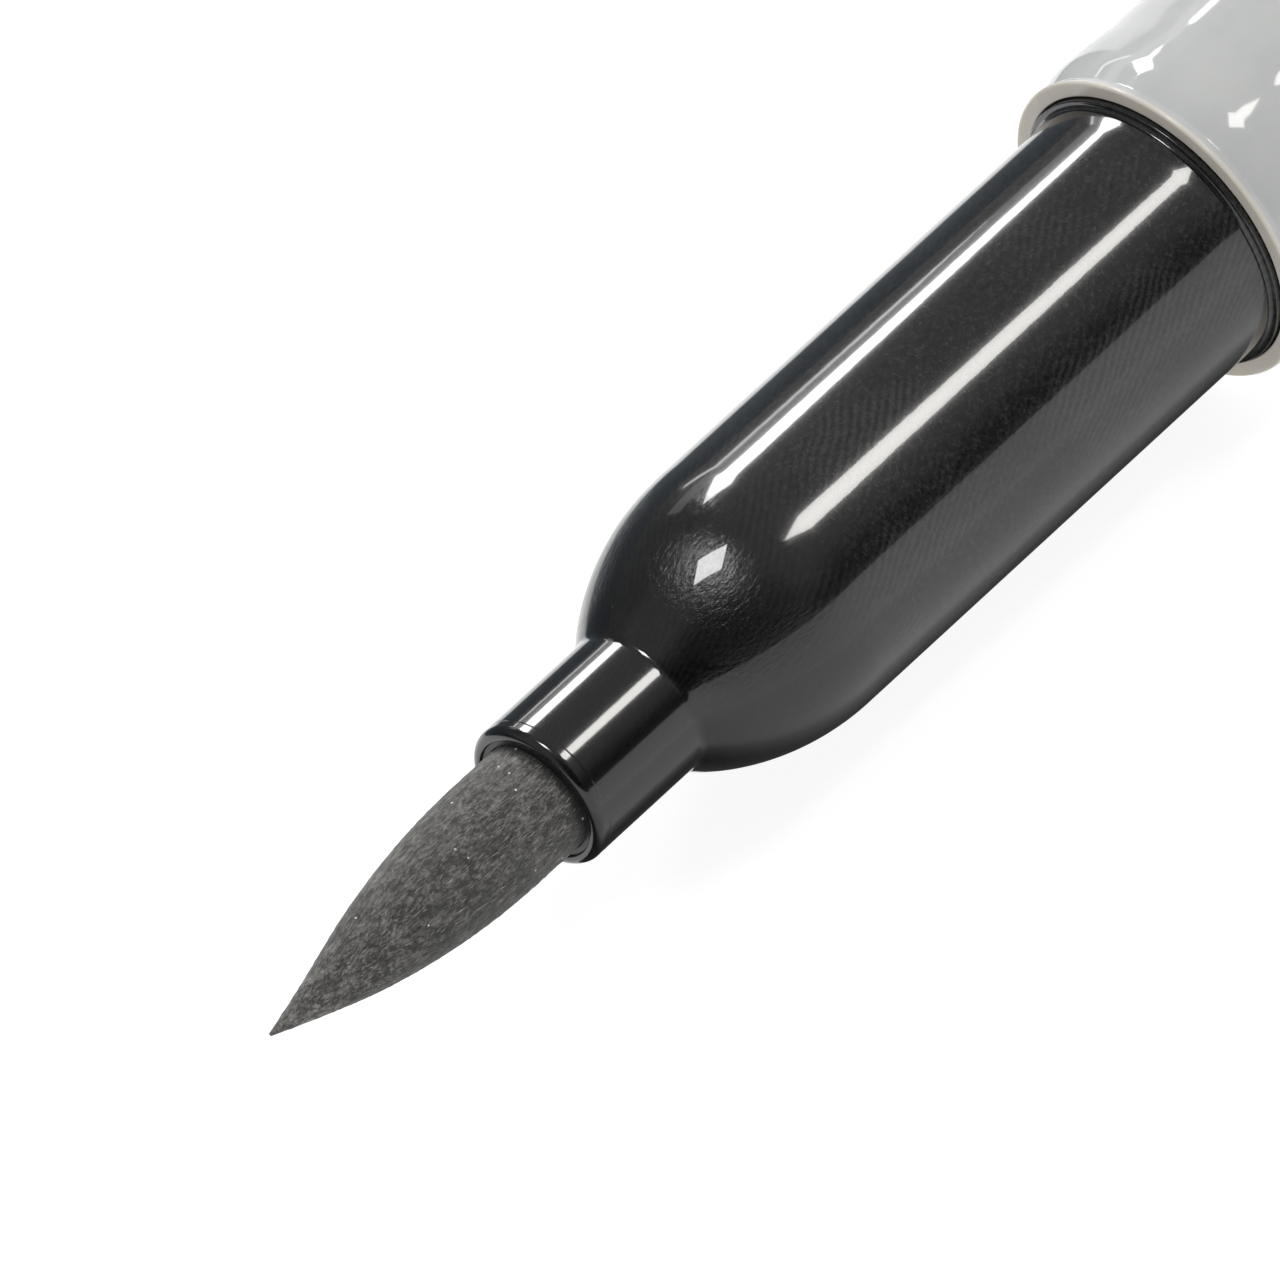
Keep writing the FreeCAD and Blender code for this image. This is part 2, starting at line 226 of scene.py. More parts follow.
class Nodes:
    """A material's node tree, with short ways to add the nodes that the materials here share."""

    def __init__(self, name):
        self.material = bpy.data.materials.new(name)
        self.material.use_nodes = True
        self.tree = self.material.node_tree
        self.shader = self.tree.nodes["Principled BSDF"]
        self.coordinate = self.add("ShaderNodeTexCoord").outputs["Object"]

    def add(self, kind, **inputs):
        """A new node with its inputs set: an underscore in a name stands for a space."""
        node = self.tree.nodes.new(kind)
        for key, value in inputs.items():
            node.inputs[key.replace("_", " ")].default_value = value
        return node

    def link(self, a, b):
        self.tree.links.new(a, b)

    def scaled(self, x, y, z):
        """Object coordinates in millimetres, times x, y and z."""
        node = self.add("ShaderNodeMapping")
        node.inputs["Scale"].default_value = (x / MM, y / MM, z / MM)
        self.link(self.coordinate, node.inputs["Vector"])
        return node.outputs["Vector"]

    def place(self):
        """The point's x, y and z in millimetres."""
        node = self.add("ShaderNodeSeparateXYZ")
        self.link(self.scaled(1, 1, 1), node.inputs["Vector"])
        return node.outputs["X"], node.outputs["Y"], node.outputs["Z"]

    def span(self, value, low, high, to_low=0.0, to_high=1.0, kind="LINEAR"):
        """Goes from to_low to to_high as value goes from low to high, and stays there beyond."""
        node = self.add(
            "ShaderNodeMapRange", From_Min=low, From_Max=high, To_Min=to_low, To_Max=to_high
        )
        node.interpolation_type = kind
        self.link(value, node.inputs["Value"])
        return node.outputs["Result"]

    def noise(self, stretch, scale, detail=3.0, roughness=0.55):
        """Noise with that many features to the millimetre across the axis, and fewer along it."""
        node = self.add("ShaderNodeTexNoise", Scale=scale, Detail=detail, Roughness=roughness)
        self.link(self.scaled(1 / stretch, 1, 1), node.inputs["Vector"])
        return node.outputs["Fac"]

    def ramp(self, value, *stops):
        """Each stop is (place, grey) or (place, (r, g, b))."""
        node = self.tree.nodes.new("ShaderNodeValToRGB")
        elements = node.color_ramp.elements
        while len(elements) < len(stops):
            elements.new(0.5)
        for element, (place, colour) in zip(elements, stops):
            rgb = colour if isinstance(colour, tuple) else (colour, colour, colour)
            element.position = place
            element.color = (*rgb, 1)
        self.link(value, node.inputs["Fac"])
        return node.outputs["Color"]

    def math(self, operation, a, b=0.0, clamp=False):
        """a and b are numbers or sockets."""
        node = self.tree.nodes.new("ShaderNodeMath")
        node.operation = operation
        node.use_clamp = clamp
        for i, value in enumerate((a, b)):
            if isinstance(value, (int, float)):
                node.inputs[i].default_value = value
            else:
                self.link(value, node.inputs[i])
        return node.outputs["Value"]

    def mix(self, factor, a, b):
        """Colour a where factor is 0, and b where it is 1."""
        node = self.tree.nodes.new("ShaderNodeMix")
        node.data_type = "RGBA"
        for key, value in ((0, factor), (6, a), (7, b)):
            if isinstance(value, (int, float)):
                node.inputs[key].default_value = value
            elif isinstance(value, tuple):
                node.inputs[key].default_value = (*value, 1)
            else:
                self.link(value, node.inputs[key])
        return node.outputs[2]

    def specks(self, density, size):
        """1 on small round dots in a few of the cells, 0 elsewhere.

        density is in cells to the millimetre, and size is a dot's radius in cells.
        """
        node = self.add("ShaderNodeTexVoronoi", Scale=density, Randomness=1.0)
        self.link(self.scaled(1, 1, 1), node.inputs["Vector"])
        dot = self.math("LESS_THAN", node.outputs["Distance"], size)
        keep = self.add("ShaderNodeSeparateColor")
        self.link(node.outputs["Color"], keep.inputs["Color"])
        chosen = self.math("GREATER_THAN", keep.outputs["Red"], 1 - SPECK_SHARE)
        return self.math("MULTIPLY", dot, chosen)

    def bump(self, height, depth_um, after=None):
        """A bump of that depth in micrometres, on top of the normal that is given as after."""
        node = self.add("ShaderNodeBump", Strength=1.0, Distance=depth_um * MICROMETRE)
        self.link(height, node.inputs["Height"])
        if after is not None:
            self.link(after, node.inputs["Normal"])
        return node.outputs["Normal"]

    def into(self, **sockets):
        """Links or sets the shader's inputs."""
        for key, value in sockets.items():
            socket = self.shader.inputs[key.replace("_", " ")]
            if isinstance(value, (int, float, tuple)):
                socket.default_value = value
            else:
                self.link(value, socket)
        return self.material


def black_plastic():
    """Polished black moulding: crisp gloss, faint grain, turned marks and dust, scratched shoulder."""
    n = Nodes("black_gloss_plastic")
    x, y, z = n.place()
    turn = n.math("ARCTAN2", y, z)

    grain = n.noise(1.0, 7.0, 4.0, 0.7)
    phase = n.math("SUBTRACT", n.math("MULTIPLY", x, 12.5), n.math("MULTIPLY", turn, 94.0))
    phase = n.math("ADD", phase, n.math("MULTIPLY", n.noise(1.5, 0.8, 2.0), 9.0))
    marks = n.math("ADD", n.math("MULTIPLY", n.math("SINE", phase), 0.5), 0.5)
    patches = n.ramp(n.noise(2.0, 0.28, 2.0), (0.42, 0.0), (0.60, 1.0))
    marks = n.math("MULTIPLY", n.math("MULTIPLY", marks, patches), 0.55)
    dust = n.ramp(n.noise(1.0, 4.0, 6.0, 0.9), (0.50, 0.0), (0.72, 1.0))
    film = n.math("ADD", n.ramp(grain, (0.38, 0.0), (0.66, 0.5)), marks, True)
    film = n.math("ADD", film, dust, True)
    film = n.math("MULTIPLY", film, n.span(x, -12.0, -8.0, 0.25))
    colour = n.mix(film, (0.0010, 0.0010, 0.0011), (0.032, 0.032, 0.0325))
    colour = n.mix(n.specks(0.55, 0.028), colour, (0.30, 0.30, 0.31))
    colour = n.mix(n.specks(1.1, 0.030), colour, (0.05, 0.05, 0.052))

    rise = n.span(x, -16.6, -14.4, kind="SMOOTHSTEP")
    fall = n.span(x, -12.8, -10.4, 1.0, 0.0, kind="SMOOTHSTEP")
    shoulder = n.math("MULTIPLY", rise, fall)
    scratches = n.math("MULTIPLY", n.noise(14.0, 8.0, 3.0, 0.6), shoulder)
    smooth = n.bump(n.noise(1.0, 1.1, 1.0), 1.5)
    smooth = n.bump(n.noise(3.0, 9.0, 2.0), 0.35, smooth)
    rough = n.math("ADD", 0.095, n.math("MULTIPLY", shoulder, 0.085))
    rough = n.math("ADD", rough, n.math("MULTIPLY", grain, 0.03))
    tangent = n.tree.nodes.new("ShaderNodeTangent")
    tangent.direction_type = "RADIAL"
    tangent.axis = "X"
    return n.into(
        Base_Color=colour,
        Roughness=rough,
        IOR=1.5,
        Specular_IOR_Level=0.33,
        Anisotropic=0.85,
        Tangent=tangent.outputs["Tangent"],
        Coat_Weight=0.65,
        Coat_Roughness=0.03,
        Coat_IOR=1.5,
        Normal=n.bump(scratches, 36.0, smooth),
        Coat_Normal=smooth,
    )


def grey_plastic():
    """Glossy light grey tube, milky, with a painted warm glow at its thin lip that stands in for light
    seen through the lip and reflected inside it.
    """
    n = Nodes("light_grey_plastic")
    x, _, _ = n.place()
    into_barrel = n.math("SUBTRACT", x, BARREL_FRONT)
    # Painted light: near the front edge the colour turns to a lighter warm beige, standing in for the
    # warm light seen through the thin translucent lip and reflected inside it.
    lip = n.ramp(n.math("DIVIDE", into_barrel, 1.2), (0.0, 1.0), (0.08, 0.8), (0.22, 0.0))
    cloud = n.noise(2.0, 0.9, 3.0)
    body = n.ramp(cloud, (0.3, (0.490, 0.502, 0.502)), (0.7, (0.520, 0.530, 0.526)))
    painted_lip_glow = n.ramp(cloud, (0.3, (0.64, 0.60, 0.53)), (0.7, (0.69, 0.65, 0.58)))
    return n.into(
        Base_Color=n.mix(lip, body, painted_lip_glow),
        Roughness=n.ramp(cloud, (0.3, 0.05), (0.7, 0.09)),
        IOR=1.49,
        Specular_IOR_Level=0.4,
        Subsurface_Weight=0.15,
        Subsurface_Radius=(0.0006, 0.0005, 0.0004),
        Subsurface_Scale=1.0,
        Normal=n.bump(n.noise(1.5, 1.0, 2.0), 3.0),
    )


def felt():
    """Dense fibre soaked with ink: mottled, with clumps near the tip and lint, a painted lighter upper
    side, and painted shade at the mouth where the nozzle's rim shades the felt.
    """
    n = Nodes("felt_nib")
    x, y, z = n.place()
    near_tip = n.span(x, NIB_TIP + 3.0, NIB_TIP + 8.5, 1.0, 0.0)
    near_mouth = n.span(x, MOUTH - 3.6, MOUTH - 1.0)
    # Painted shade: the felt darkens over its last 0.34 mm before the mouth, where the nozzle's rim
    # shades it.
    painted_mouth_shade = n.span(x, MOUTH - 0.34, MOUTH - 0.06, 0.0, 0.75)
    worn_point = n.span(x, NIB_TIP + 0.5, NIB_TIP + 4.0, 0.13, 0.0)

    def band(stretch, scale, detail, roughness, low, high):
        return n.ramp(n.noise(stretch, scale, detail, roughness), (low, 0.0), (high, 1.0))

    def part(value, share):
        return n.math("MULTIPLY", value, share)

    coarse = band(1.5, 2.6, 3.0, 0.6, 0.36, 0.64)
    middle = band(1.8, 6.0, 4.0, 0.75, 0.38, 0.62)
    fine = band(2.2, 13.0, 3.0, 0.8, 0.36, 0.64)
    dashes = part(band(6.0, 9.0, 3.0, 0.7, 0.52, 0.68), near_mouth)
    clumps = part(band(1.6, 1.9, 4.0, 0.7, 0.50, 0.66), near_tip)
    # Painted light: the felt is made lighter towards +Y and +Z, its upper far side, which faces the
    # lamps.
    painted_lit_side = n.math("ADD", part(y, 0.046), part(z, 0.025))
    tone = n.math("ADD", part(coarse, 0.22), part(middle, 0.28))
    tone = n.math("ADD", tone, n.math("ADD", painted_lit_side, worn_point))
    tone = n.math("ADD", tone, part(fine, 0.34))
    tone = n.math("ADD", tone, part(dashes, 0.30))
    tone = n.math("ADD", tone, part(part(clumps, fine), 0.45), True)
    dark, mid, pale = (0.010, 0.0097, 0.009), (0.066, 0.064, 0.060), (0.32, 0.312, 0.297)
    colour = n.ramp(tone, (0.0, dark), (0.4, mid), (1.0, pale))
    colour = n.mix(painted_mouth_shade, colour, (0.004, 0.004, 0.004))
    colour = n.mix(n.specks(2.0, 0.085), colour, (0.75, 0.75, 0.73))
    height = n.math("ADD", part(fine, 0.5), part(middle, 0.7))
    return n.into(
        Base_Color=colour,
        Roughness=n.ramp(tone, (0.2, 0.7), (0.8, 0.9)),
        Specular_IOR_Level=0.25,
        Sheen_Weight=0.2,
        Sheen_Roughness=0.5,
        Normal=n.bump(height, 16.0),
    )


def fibre_strand():
    """Single fibres that stand out a little paler on the felt."""
    n = Nodes("felt_strand")
    tone = n.noise(3.0, 7.0, 3.0)
    return n.into(
        Base_Color=n.ramp(tone, (0.35, (0.09, 0.088, 0.083)), (0.65, (0.38, 0.372, 0.355))),
        Roughness=n.ramp(tone, (0.3, 0.5), (0.7, 0.75)),
        Specular_IOR_Level=0.4,
        Normal=n.bump(tone, 3.0),
    )


def dull_plastic(name, low, high, roughness, depth=4.0):
    """A plain moulding that shows a little cloud and grain."""
    n = Nodes(name)
    cloud = n.noise(1.5, 1.6, 4.0)
    return n.into(
        Base_Color=n.ramp(cloud, (0.3, low), (0.7, high)),
        Roughness=n.ramp(cloud, (0.3, roughness - 0.05), (0.7, roughness + 0.08)),
        IOR=1.5,
        Normal=n.bump(n.noise(1.0, 14.0, 2.0), depth),
    )


def clear_film():
    """Thin clear film, slightly rippled."""
    n = Nodes("clear_film")
    ripple = n.noise(5.0, 1.2, 2.0)
    return n.into(
        Base_Color=n.ramp(ripple, (0.3, 0.7), (0.7, 0.9)),
        Roughness=n.ramp(ripple, (0.3, 0.08), (0.7, 0.2)),
        IOR=1.45,
        Alpha=0.35,
        Normal=n.bump(ripple, 12.0),
    )


def dress(obj, material):
    """Gives the piece its only material."""
    obj.data.materials.clear()
    obj.data.materials.append(material)


BLACK = black_plastic()
GREY = grey_plastic()
FELT = felt()
STRAND = fibre_strand()
BUSH = dull_plastic("dark_plastic", (0.018, 0.018, 0.018), (0.03, 0.03, 0.03), 0.35)
FIBRE = dull_plastic("reservoir_fibre", (0.012, 0.012, 0.014), (0.03, 0.03, 0.033), 0.8, 30.0)
MILKY = dull_plastic("natural_soft_plastic", (0.55, 0.55, 0.52), (0.66, 0.66, 0.63), 0.4)
FILM = clear_film()


# ---------------------------------------------------------------- front section and bush


def shoulder_points(steps=56):
    """The shoulder's arc, from near the nozzle to where it runs into the seat."""
    out = []
    for k in range(steps + 1):
        x = SHOULDER_ROOT + (SEAT_FRONT - SHOULDER_ROOT) * k / steps
        r = SEAT_R - SHOULDER_ARC_R + math.sqrt(SHOULDER_ARC_R**2 - (x - SEAT_FRONT) ** 2)
        out.append((x, r))
    return out


def front_section():
    """One closed outline: mouth and nozzle, shoulder, seat, flange and plug, then back inside."""
    nozzle = [(SHOULDER_ROOT - 2.0, NOZZLE_R), (SHOULDER_ROOT, NOZZLE_R, 0.5), shoulder_points()[6]]
    root = rounded_path(nozzle, closed=False)[1:]
    arc = [Vector(p) for p in shoulder_points() if p[0] > root[-1].x + 0.02]
    front = rounded_path(
        [
            (MOUTH + 3, NOZZLE_BORE_R),
            (MOUTH, NOZZLE_BORE_R, 0.05),
            (MOUTH, NOZZLE_R, 0.32),
            (MOUTH + 0.59, NOZZLE_R, 0.01),
            (MOUTH + 0.62, NOZZLE_R - 0.007, 0.01),
            (MOUTH + 0.65, NOZZLE_R, 0.01),
            (SHOULDER_ROOT - 2, NOZZLE_R),
        ],
        closed=False,
    )
    base = rounded_path(
        [
            (SEAT_FRONT, SEAT_R),
            (SEAT_BACK - 0.35, SEAT_R, 6.0),
            (SEAT_BACK + 0.12, SEAT_R + 0.06, 0.16),
            (SEAT_BACK + 0.14, FLANGE_R, 0.05),
            (FLANGE_BACK, FLANGE_R),
            (FLANGE_BACK, PLUG_R),
            (PLUG_BACK, PLUG_R, 0.2),
            (PLUG_BACK, CAVITY_R),
            (CAVITY_FRONT, CAVITY_R),
            (SLEEVE_BACK, NOZZLE_BORE_R + 0.5),
            (SLEEVE_BACK, NOZZLE_BORE_R),
        ],
        closed=False,
    )
    path = front[:-1] + root + arc[:-1] + base
    piece = turned_piece("front_section_shell", "marker", path, 288)
    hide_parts("front_section")
    dress(piece, BLACK)


front_section()
dress(frame["nodes"]["nib_bush"], BUSH)
dress(frame["nodes"]["reservoir_core"], FIBRE)
dress(frame["nodes"]["reservoir_film"], FILM)


# ---------------------------------------------------------------- nib


STRANDS = 2200


def nib_radius(x):
    """Radius of the felt at x: a straight cone, then an arc that runs into the round shank."""
    d = x - NIB_TIP
    cone_r = NIB_CONE_SLOPE * NIB_CONE_LENGTH
    if d <= NIB_CONE_LENGTH:
        return NIB_POINT_R + (cone_r - NIB_POINT_R) * d / NIB_CONE_LENGTH
    if d >= NIB_STRAIGHT_FROM:
        return NIB_R
    reach, rise = NIB_STRAIGHT_FROM - NIB_CONE_LENGTH, NIB_R - cone_r
    arc_r = (reach**2 + rise**2) / (2 * rise)
    return NIB_R - arc_r + math.sqrt(arc_r**2 - (NIB_STRAIGHT_FROM - d) ** 2)


def nib_lean(x):
    """The last of the point is bent aside from use."""
    d = max(0.0, 1 - (x - NIB_TIP) / 4.5)
    return Vector((0, 0.881, 0.473)) * (0.17 * d * d)


def on_nib(x, radius, angle):
    """The point at x that far out from the felt's own middle line."""
    lean = nib_lean(x)
    return x, lean.y - radius * math.sin(angle), lean.z + radius * math.cos(angle)


def felt_body(rng):
    """The felt from its point to its heel, with a slightly uneven surface."""
    bm = bmesh.new()
    segments = 240
    count = 150
    rows = [NIB_TIP + 13.6 * (k / count) ** 1.15 for k in range(count + 1)]
    rows += [MOUTH + 4.0, -9.0, NIB_TAPER_FROM, NIB_HEEL - 0.3]
    waves = [(rng.uniform(0, TURN), rng.randint(18, 90), rng.uniform(0.2, 1.1)) for _ in range(26)]
    rings = []
    for x in rows:
        r = nib_radius(x) - NIB_TAPER_SLOPE * max(0.0, x - NIB_TAPER_FROM)
        ring = []
        for k in range(segments):
            a = TURN * k / segments
            wobble = sum(math.sin(lobes * a + phase + pitch * x) for phase, lobes, pitch in waves)
            ring.append(bm.verts.new(on_nib(x, r + wobble * 0.0011 * min(1.0, r), a)))
        rings.append(ring)
    for a, b in zip(rings, rings[1:]):
        for k in range(segments):
            n = (k + 1) % segments
            bm.faces.new((a[k], a[n], b[n], b[k]))
    tip = bm.verts.new(Vector((NIB_TIP - 0.03, 0, 0)) + nib_lean(NIB_TIP))
    heel = bm.verts.new((NIB_HEEL, 0, 0))
    for k in range(segments):
        n = (k + 1) % segments
        bm.faces.new((tip, rings[0][n], rings[0][k]))
        bm.faces.new((heel, rings[-1][k], rings[-1][n]))
    return bm


def felt_strands(rng):
    """Loose fibres, fewer and more askew towards the point."""
    bm = bmesh.new()
    for _ in range(STRANDS):
        x = rng.uniform(NIB_TIP + 0.5, MOUTH - 0.1)
        r = nib_radius(x)
        if rng.random() > 0.25 + 0.75 * r / NIB_R:
            continue
        a = rng.uniform(0, TURN)
        tip = max(0.0, 1 - (x - NIB_TIP) / 7.0)
        length = rng.uniform(0.12, 0.42) * (1 - 0.4 * tip)
        width = rng.uniform(0.009, 0.019)
        drift = rng.uniform(-1, 1) * (0.03 + 0.10 * tip)
        strand(bm, x, a, min(length, MOUTH - 0.03 - x), width, drift, rng.uniform(0.004, 0.010))
    return bm


def nib():
    """The felt and its strands, whose point leans aside together as nib_lean gives."""
    rng = random.Random(11)
    piece = finished("brush_nib_felt", felt_body(rng))
    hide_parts("brush_nib_tip", "brush_nib_shank")
    dress(piece, FELT)
    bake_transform(piece)

    strands = finished("brush_nib_strands", felt_strands(rng))
    dress(strands, STRAND)
    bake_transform(strands)


def strand(bm, x0, angle, length, width, drift, lift):
    """A thin fibre that lies along the felt and dips into it at both ends."""
    steps = 6
    rows = []
    for k in range(steps + 1):
        t = k / steps
        x = x0 + length * t
        a = angle + drift * (t - 0.5)
        r = nib_radius(x)
        up = r + (lift + width * 0.5) * math.sin(math.pi * t) ** 0.6 - 0.006
        w = width * (0.35 + 0.65 * math.sin(math.pi * t)) / max(r, 0.2)
        ridge = ((-w, -0.004), (0.0, width * 0.5), (w, -0.004))
        rows.append([bm.verts.new(on_nib(x, up + h, a + da)) for da, h in ridge])
    for p, q in zip(rows, rows[1:]):
        for i in range(3):
            j = (i + 1) % 3
            bm.faces.new((p[i], p[j], q[j], q[i]))
    bm.faces.new(rows[0])
    bm.faces.new(rows[-1][::-1])


nib()


# ---------------------------------------------------------------- barrel and tail


def barrel():
    """A tube with a slight swell behind its lip, and a wider bore that takes the front section."""
    path = rounded_path(
        [
            (BARREL_FRONT, FLANGE_R + 0.05, 0.05),
            (BARREL_FRONT, SWELL_R - 0.03, 0.10),
            (BARREL_FRONT + 0.44, SWELL_R - 0.21, 0.2),
            (BARREL_FRONT + 1.42, SWELL_R, 3.5),
            (BARREL_FRONT + 2.7, SWELL_R - 0.025, 14.0),
            (BARREL_FRONT + 3.75, BARREL_R - 0.025, 6.0),
            (BARREL_BACK, BARREL_R, 0.3),
            (BARREL_BACK, BARREL_BORE_R),
            (SOCKET_BACK, BARREL_BORE_R),
            (SOCKET_BACK, SOCKET_R),
            (FLANGE_BACK + 0.02, SOCKET_R),
            (FLANGE_BACK + 0.02, FLANGE_R + 0.05),
        ],
        steps=10,
    )
    piece = turned_piece("barrel_tube", "marker", path, 288)
    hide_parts("barrel")
    dress(piece, GREY)


def tail_plug():
    """A cup: the plug inside the barrel, the collar on its end, and the spigot with a gate mark."""
    inner_r = TAIL_PLUG_R - TAIL_WALL
    path = rounded_path(
        [
            (SPIGOT_BACK - SPIGOT_END_WALL, 0),
            (SPIGOT_BACK - SPIGOT_END_WALL, inner_r, 0.5),
            (BARREL_BACK - TAIL_PLUG_LENGTH, inner_r),
            (BARREL_BACK - TAIL_PLUG_LENGTH, TAIL_PLUG_R, 0.3),
            (BARREL_BACK + 0.02, TAIL_PLUG_R),
            (BARREL_BACK + 0.02, COLLAR_R, 0.25),
            (SPIGOT_FRONT, COLLAR_R, 0.25),
            (SPIGOT_FRONT, SEAT_R),
            (SPIGOT_BACK, SEAT_R, 0.9),
            (SPIGOT_BACK, 0.9),
            (SPIGOT_BACK - 0.12, 0.7),
            (SPIGOT_BACK - 0.12, 0),
        ],
        closed=False,
    )
    piece = turned_piece("tail_plug_cup", "marker", path, closed=False)
    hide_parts("tail_plug")
    dress(piece, BLACK)


barrel()
tail_plug()


# ---------------------------------------------------------------- cap

# The marker lies on the barrel's swell, the cap's bead and one edge of the clip. The clip is made over
# the top of the cap, and is then turned about the axis until that edge is as low as the bead.
EDGE_UP = CLIP_TOP_R - CLIP_EDGE
EDGE_SIDE = CLIP_HALF_WIDTH - CLIP_EDGE
CLIP_FROM_DOWN = math.acos((SWELL_R - CLIP_EDGE) / math.hypot(EDGE_UP, EDGE_SIDE))
CLIP_FROM_DOWN += math.atan2(EDGE_SIDE, EDGE_UP)
TO_CLIP = Matrix.Rotation(math.pi - CLIP_FROM_DOWN, 4, "X")


def bar(bm, front, back, low, high, round_front, round_back):
    """A bar over the cap, from low to high above the axis.

    Its corners are rounded at the front and at the back, and so is its upper edge.
    """
    outline = []
    steps = 6
    w = CLIP_HALF_WIDTH
    for cx, cy, start, r in (
        (front, -w, math.pi, round_front),
        (back, -w, 1.5 * math.pi, round_back),
        (back, w, 0.0, round_back),
        (front, w, 0.5 * math.pi, round_front),
    ):
        centre = Vector((cx + (r if cx == front else -r), cy + (r if cy < 0 else -r)))
        for k in range(steps + 1):
            a = start + math.pi / 2 * k / steps
            outline.append(centre + Vector((math.cos(a), math.sin(a))) * r)
    middle_x = (front + back) / 2
    levels = [(low, 0.0), (low + 0.04, 0.0), (high - CLIP_EDGE - 0.03, 0.0)]
    for k in range(steps + 1):
        a = math.pi / 2 * k / steps
        levels.append((high - CLIP_EDGE * (1 - math.sin(a)), CLIP_EDGE * (1 - math.cos(a))))
    rings = []
    for z, inset in levels:
        ring = []
        for p in outline:
            q = p.copy()
            q.y -= math.copysign(min(inset, abs(q.y)), q.y)
            if abs(q.x - middle_x) > inset:
                q.x += math.copysign(inset, middle_x - q.x)
            ring.append(bm.verts.new((q.x, q.y, z)))
        rings.append(ring)
    for a, b in zip(rings, rings[1:]):
        for k in range(len(outline)):
            n = (k + 1) % len(outline)
            bm.faces.new((a[k], a[n], b[n], b[k]))
    bm.faces.new(rings[0][::-1])
    bm.faces.new(rings[-1])


def smooth_by_angle(obj, degrees=35):
    """Keeps edges sharper than that angle crisp."""
    obj.data.shade_smooth()
    obj.data.set_sharp_from_angle(angle=math.radians(degrees))


def cap():
    """The shell with its bead and gate mark, and the boss that the clip grows from."""
    inner_end = CAP_BACK - CAP_END_WALL
    path = rounded_path(
        [
            (CAP_FRONT, CAP_BORE_R, 0.15),
            (CAP_FRONT, SWELL_R, 0.35),
            (CAP_FRONT + CAP_BEAD_LENGTH, SWELL_R, 0.5),
            (CAP_FRONT + CAP_BEAD_LENGTH + 0.25, BARREL_R, 0.5),
            (CAP_BACK, CAP_END_R, 1.1),
            (CAP_BACK, 1.0),
            (CAP_BACK - 0.15, 0.8),
            (CAP_BACK - 0.15, 0.0),
            (inner_end, 0.0),
            (inner_end, CAP_INNER_END_R),
            (CAP_FRONT + CAP_STEP, CAP_BORE_R),
        ],
        steps=10,
    )
    shell = turned_piece("cap_shell_cup", "cap", path, 256)
    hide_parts("cap_shell")
    dress(shell, BLACK)

    bm = bmesh.new()
    bar(bm, CLIP_HINGE_X + 0.12, CLIP_HINGE_X + 5.0, CAP_END_R - 0.5, CLIP_TOP_R, 0.1, 0.8)
    bmesh.ops.transform(bm, matrix=TO_CLIP, verts=bm.verts)
    boss = finished("cap_clip_boss", bm, "cap")
    dress(boss, BLACK)
    smooth_by_angle(boss)


def clip():
    """The tongue, with the ball under its end that holds cloth."""
    bm = bmesh.new()
    bar(bm, CLIP_TIP_X, CLIP_HINGE_X + 0.08, CLIP_TOP_R - CLIP_THICK, CLIP_TOP_R, 1.6, 0.3)
    ball = bmesh.ops.create_icosphere(bm, subdivisions=4, radius=CLIP_BALL_R)
    place = Matrix.Translation((CLIP_TIP_X + 3.2, 0, BARREL_R + 0.12 + CLIP_BALL_R))
    bmesh.ops.transform(bm, matrix=place, verts=ball["verts"])
    bmesh.ops.transform(bm, matrix=TO_CLIP, verts=bm.verts)
    piece = finished("cap_clip_tongue", bm, "clip")
    smooth_by_angle(piece)
    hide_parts("cap_clip")
    dress(piece, BLACK)


cap()
clip()
dress(frame["nodes"]["cap_inner_seal"], MILKY)


# ---------------------------------------------------------------- camera

AZIMUTH = math.radians(-50.01)
ELEVATION = math.radians(50.21)
FIELD = 41.97  # mm across the picture at the target
LENS = 1600.0
SENSOR = 36.0
BACK = Vector(
    (
        math.sin(AZIMUTH) * math.cos(ELEVATION),
        -math.cos(AZIMUTH) * math.cos(ELEVATION),
        math.sin(ELEVATION),
    )
)
TARGET = Vector((NIB_TIP + 20.173, 1.336, 0.72)) * MM


def camera():
    """A long lens from far off, so that the marker is drawn with next to no perspective."""
    data = bpy.data.cameras.new("camera")
    data.lens = LENS
    data.sensor_width = SENSOR
    data.clip_start = 0.1
    data.clip_end = 200.0
    obj = bpy.data.objects.new("camera", data)
    bpy.context.scene.collection.objects.link(obj)
    obj.location = TARGET + BACK * (LENS / SENSOR * FIELD * MM)
    obj.rotation_mode = "QUATERNION"
    obj.rotation_quaternion = (-BACK).to_track_quat("-Z", "Y")
    bpy.context.scene.camera = obj


camera()


# ---------------------------------------------------------------- floor, world and lights


FLOOR_Z = cad_low.z
FLOOR_HALF = 4.0
ROOM_LIGHT = 0.42
DIM_FRONT = 0.36
LOW_PART = (-0.0505, -0.411, -1.0)  # the half of all directions round this one is the bright part
LOW_PART_LIGHT = 1.15


def stage_mesh(name, bm):
    """A mesh object that is part of the studio and not of the marker."""
    mesh = bpy.data.meshes.new(name)
    bm.to_mesh(mesh)
    bm.free()
    obj = bpy.data.objects.new(name, mesh)
    bpy.context.scene.collection.objects.link(obj)
    return obj


def floor():
    """Pale and matt, and glowing as on a light table."""
    bm = bmesh.new()
    bmesh.ops.create_grid(bm, x_segments=8, y_segments=8, size=FLOOR_HALF)
    obj = stage_mesh("floor", bm)
    obj.location.z = FLOOR_Z
    n = Nodes("pale_floor")
    tone = n.noise(1.0, 0.02, 2.0)
    n.into(
        Base_Color=n.ramp(tone, (0.3, 0.27), (0.7, 0.30)),
        Roughness=n.ramp(tone, (0.3, 0.85), (0.7, 0.95)),
        Specular_IOR_Level=0.0,
        Emission_Color=(1.0, 1.0, 1.0, 1),
        Emission_Strength=0.90,
    )
    obj.data.materials.append(n.material)


